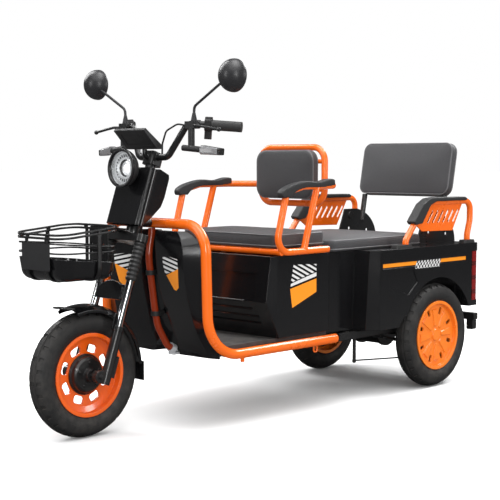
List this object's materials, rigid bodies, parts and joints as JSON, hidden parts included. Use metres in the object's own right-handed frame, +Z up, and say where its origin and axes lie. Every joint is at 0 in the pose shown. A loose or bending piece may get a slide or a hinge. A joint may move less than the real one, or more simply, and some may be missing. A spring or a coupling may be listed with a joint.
{
  "type": "electric tricycle",
  "caption": "Electric leisure tricycle with a steered front wheel, front basket, rider's seat with armrests and a rear bench over a load box.",
  "frame": {"origin": "on the ground, on the centre line, midway between the front tyre and the rear bumper", "axes": "+Z up, -Y to the front, +X to the vehicle's left"},
  "size_m": [0.784, 2.006, 1.2045],
  "materials": {
    "orange_paint": "gloss orange powder coat",
    "black_frame": "semi-gloss black paint",
    "black_panel": "high-gloss black plastic",
    "black_plastic": "matt black plastic",
    "leatherette": "charcoal leatherette",
    "tyre_rubber": "black rubber",
    "grip_rubber": "soft black rubber",
    "chrome": "bright chrome",
    "clear_lens": "clear lens",
    "silver_paint": "silver paint",
    "red_lens": "dark red lens"
  },
  "bodies": {
    "chassis": {"armrest_shoes": "black_plastic", "basket_bracket": "black_frame", "basket_rim": "black_frame", "basket_rings": "black_frame", "basket_straps": "black_frame", "basket_tray": "black_panel", "battery": "black_plastic", "brake_linkage": "black_frame", "cargo_box": "black_panel", "centre_tube": "orange_paint", "column_cover": "black_panel", "column_rear": "black_panel", "floor_frame": "black_frame", "footboard": "black_plastic", "front_armrest_pads": "black_plastic", "front_armrests": "orange_paint", "front_backrest_frame": "orange_paint", "front_backrest_pad": "leatherette", "front_panels": "black_panel", "front_plate": "black_panel", "headlight_lens": "clear_lens", "headlight_shell": "black_plastic", "hoop_left": "orange_paint", "hoop_right": "orange_paint", "leaf_springs": "black_frame", "main_frame": "black_frame", "rear_armrest_pads": "black_plastic", "rear_armrests": "orange_paint", "rear_axle": "black_frame", "rear_backrest_brackets": "black_frame", "rear_backrest_pad": "leatherette", "rear_bumper": "black_frame", "seat_box": "black_panel", "tail_lamps": "red_lens", "tube_bands": "black_plastic", "tube_foot": "silver_paint"},
    "steering": {"handlebar": "black_frame", "grips": "grip_rubber", "hand_controls": "black_plastic", "mirrors": "black_plastic", "signal_lenses": "clear_lens", "instrument_cowl": "black_plastic", "fork_stanchions": "chrome", "fork_sliders": "black_frame", "fork_gaiters": "black_plastic", "fork_cover": "black_panel", "front_fender": "black_panel", "brake_cables": "black_plastic"},
    "front_wheel": {"front_tyre": "tyre_rubber", "front_rim": "orange_paint", "front_hub": "black_frame"},
    "rear_wheel_left": {"rear_tyre_left": "tyre_rubber", "rear_rim_left": "orange_paint"},
    "rear_wheel_right": {"rear_tyre_right": "tyre_rubber", "rear_rim_right": "orange_paint"},
    "front_seat": {"front_cushion": "leatherette"},
    "rear_seat": {"rear_cushion": "leatherette"},
    "tailgate": {"tailgate": "black_panel"}
  },
  "joints": [
    {"name": "steering", "type": "hinge", "parent": "chassis", "child": "steering", "pos_m": [0, -0.686, 0.37], "axis": [0, 0.3305, 0.9438], "range_deg": [-35, 35]},
    {"name": "front_wheel_spin", "type": "hinge", "parent": "steering", "child": "front_wheel", "pos_m": [0, -0.8, 0.203], "axis": [1, 0, 0], "continuous": true},
    {"name": "rear_wheel_left_spin", "type": "hinge", "parent": "chassis", "child": "rear_wheel_left", "pos_m": [0.283, 0.7, 0.203], "axis": [1, 0, 0], "continuous": true},
    {"name": "rear_wheel_right_spin", "type": "hinge", "parent": "chassis", "child": "rear_wheel_right", "pos_m": [-0.283, 0.7, 0.203], "axis": [1, 0, 0], "continuous": true},
    {"name": "front_seat_tilt", "type": "hinge", "parent": "chassis", "child": "front_seat", "pos_m": [0, -0.145, 0.5703], "axis": [1, 0, 0], "range_deg": [0, 80]},
    {"name": "rear_seat_tilt", "type": "hinge", "parent": "chassis", "child": "rear_seat", "pos_m": [0, 0.144, 0.6], "axis": [1, 0, 0], "range_deg": [0, 55]},
    {"name": "tailgate_drop", "type": "hinge", "parent": "chassis", "child": "tailgate", "pos_m": [0, 0.962, 0.3253], "axis": [-1, 0, 0], "range_deg": [0, 90]}
  ]
}
